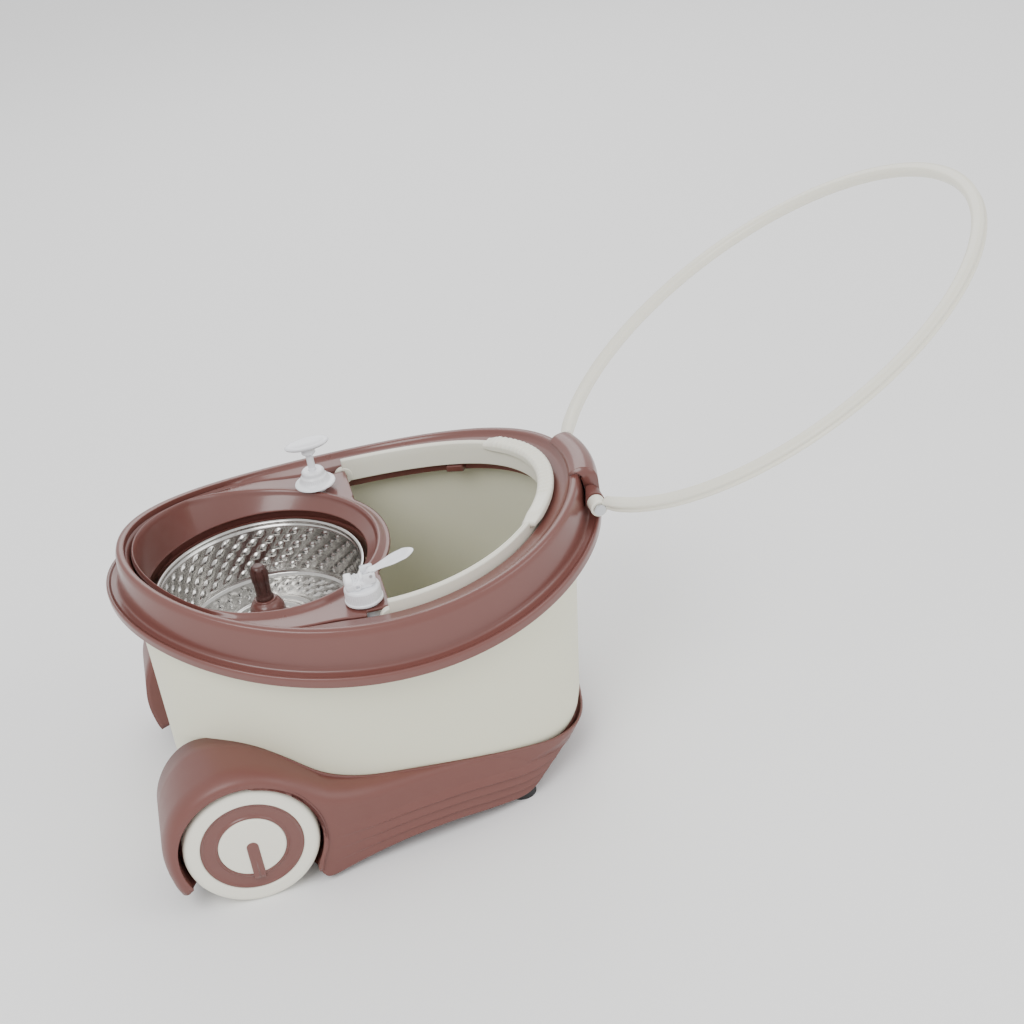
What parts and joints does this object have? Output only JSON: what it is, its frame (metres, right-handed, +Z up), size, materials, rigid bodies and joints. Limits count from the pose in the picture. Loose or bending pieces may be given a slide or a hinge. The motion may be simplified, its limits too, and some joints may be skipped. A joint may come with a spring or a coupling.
{
  "type": "spin mop bucket",
  "caption": "Boat-shaped mop bucket on two wheels with a spinning steel basket, soap pump, flip-cap dispenser, carry handle and a folding oval pull hoop.",
  "frame": {"origin": "on the floor under the middle of the object's overall box, hoop raised to the rear", "axes": "+Z up, +X from the wheels towards the pull hoop at the rear, +Y to the side of the soap pump"},
  "size_m": [0.85, 0.385, 0.4608],
  "materials": {
    "brown_plastic": "reddish brown semi-gloss moulding",
    "tub_plastic": "cream satin moulding",
    "handle_plastic": "ivory semi-gloss moulding",
    "wheel_plastic": "ivory satin moulding",
    "white_plastic": "white gloss moulding",
    "bottle_plastic": "milky translucent bottle",
    "stainless": "pressed stainless steel, bright",
    "plated_steel": "zinc plated steel",
    "foot_rubber": "black rubber",
    "nylon": "black nylon"
  },
  "bodies": {
    "tub": {"bucket": "tub_plastic", "rim_cover": "brown_plastic", "well_deck": "brown_plastic", "rear_housing": "brown_plastic", "hoop_lugs": "brown_plastic", "undercarriage": "brown_plastic", "rear_feet": "foot_rubber", "base_screws": "plated_steel", "stub_axle_left": "plated_steel", "stub_axle_right": "plated_steel", "push_nut_left": "plated_steel", "push_nut_right": "plated_steel", "basket_holder": "brown_plastic", "holder_screws": "plated_steel", "upper_bush": "nylon", "lower_bush": "nylon", "pump_bottle": "bottle_plastic", "pump_collar": "white_plastic", "dip_tube": "white_plastic", "pump_spring": "plated_steel", "cap_bottle": "bottle_plastic", "cap_collar": "white_plastic", "cap_body": "white_plastic", "cap_hinge_pin": "plated_steel", "hoop_pins": "plated_steel", "handle_pins": "brown_plastic"},
    "basket": {"basket_bowl": "stainless", "basket_hub": "brown_plastic", "drive_pin": "brown_plastic", "spindle": "plated_steel", "spindle_washer": "plated_steel", "spindle_circlip": "plated_steel", "hub_rivets": "plated_steel"},
    "wheel_left": {"wheel_left": "wheel_plastic", "wheel_ring_left": "brown_plastic", "wheel_cap_left": "wheel_plastic", "wheel_bush_left": "nylon"},
    "wheel_right": {"wheel_right": "wheel_plastic", "wheel_ring_right": "brown_plastic", "wheel_cap_right": "wheel_plastic", "wheel_bush_right": "nylon"},
    "pull_hoop": {"pull_hoop": "handle_plastic"},
    "carry_handle": {"carry_handle": "handle_plastic"},
    "pump_stem": {"pump_stem": "white_plastic"},
    "pump_head": {"pump_head": "white_plastic"},
    "cap_lever": {"cap_lever": "white_plastic"}
  },
  "joints": [
    {"name": "basket_spin", "type": "hinge", "parent": "tub", "child": "basket", "pos_m": [-0.28377, 0, 0.175], "axis": [0, 0, 1], "continuous": true},
    {"name": "wheel_left_spin", "type": "hinge", "parent": "tub", "child": "wheel_left", "pos_m": [-0.34577, 0.16, 0.061], "axis": [0, 1, 0], "continuous": true},
    {"name": "wheel_right_spin", "type": "hinge", "parent": "tub", "child": "wheel_right", "pos_m": [-0.34577, -0.16, 0.061], "axis": [0, 1, 0], "continuous": true},
    {"name": "pull_hoop_swing", "type": "hinge", "parent": "tub", "child": "pull_hoop", "pos_m": [0.02872, 0, 0.252], "axis": [0, -1, 0], "range_deg": [0, 147]},
    {"name": "carry_handle_lift", "type": "hinge", "parent": "tub", "child": "carry_handle", "pos_m": [-0.18078, 0, 0.237], "axis": [0, -1, 0], "range_deg": [0, 92]},
    {"name": "pump_press", "type": "slide", "parent": "tub", "child": "pump_stem", "axis": [0, 0, -1], "range_m": [0, 0.012], "stiffness_N_per_m": 250, "springref_m": -0.008, "deforming": ["pump_spring"]},
    {"name": "pump_turn", "type": "hinge", "parent": "pump_stem", "child": "pump_head", "pos_m": [-0.21078, 0.107, 0.29059], "axis": [0, 0, 1], "continuous": true},
    {"name": "cap_lever_flip", "type": "hinge", "parent": "tub", "child": "cap_lever", "pos_m": [-0.18977, -0.116, 0.27289], "axis": [0, -1, 0], "range_deg": [0, 45]}
  ]
}
